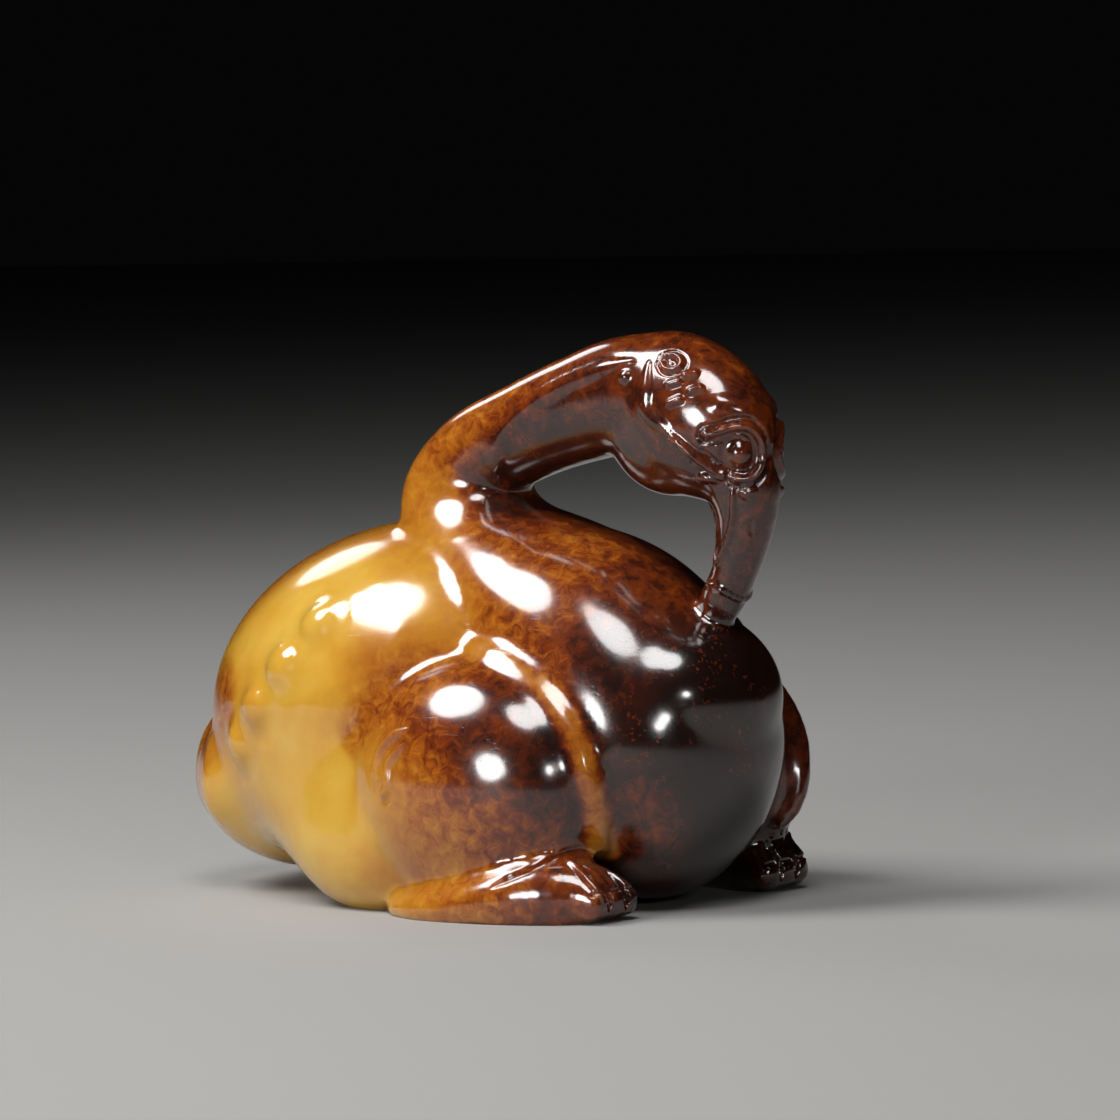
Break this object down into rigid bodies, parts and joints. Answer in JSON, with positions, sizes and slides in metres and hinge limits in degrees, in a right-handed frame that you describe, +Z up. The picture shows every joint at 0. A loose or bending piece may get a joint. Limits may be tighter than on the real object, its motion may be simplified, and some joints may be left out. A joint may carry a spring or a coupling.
{
  "type": "jade bird carving",
  "caption": "Small recumbent goose carved in the round from one russet jade pebble, its long neck looped back and its bill resting on the breast.",
  "frame": {"origin": "centre of the flat underside that the carving rests on, below the middle of the body", "axes": "+X is the way the bird faces, +Y is its left side, +Z is up"},
  "size_m": [0.0533, 0.0336, 0.0422],
  "materials": {
    "jade": "polished russet jade, honey yellow at the rear and dark red-brown at the breast and head"
  },
  "bodies": {
    "root": {"bird": "jade"}
  },
  "joints": []
}
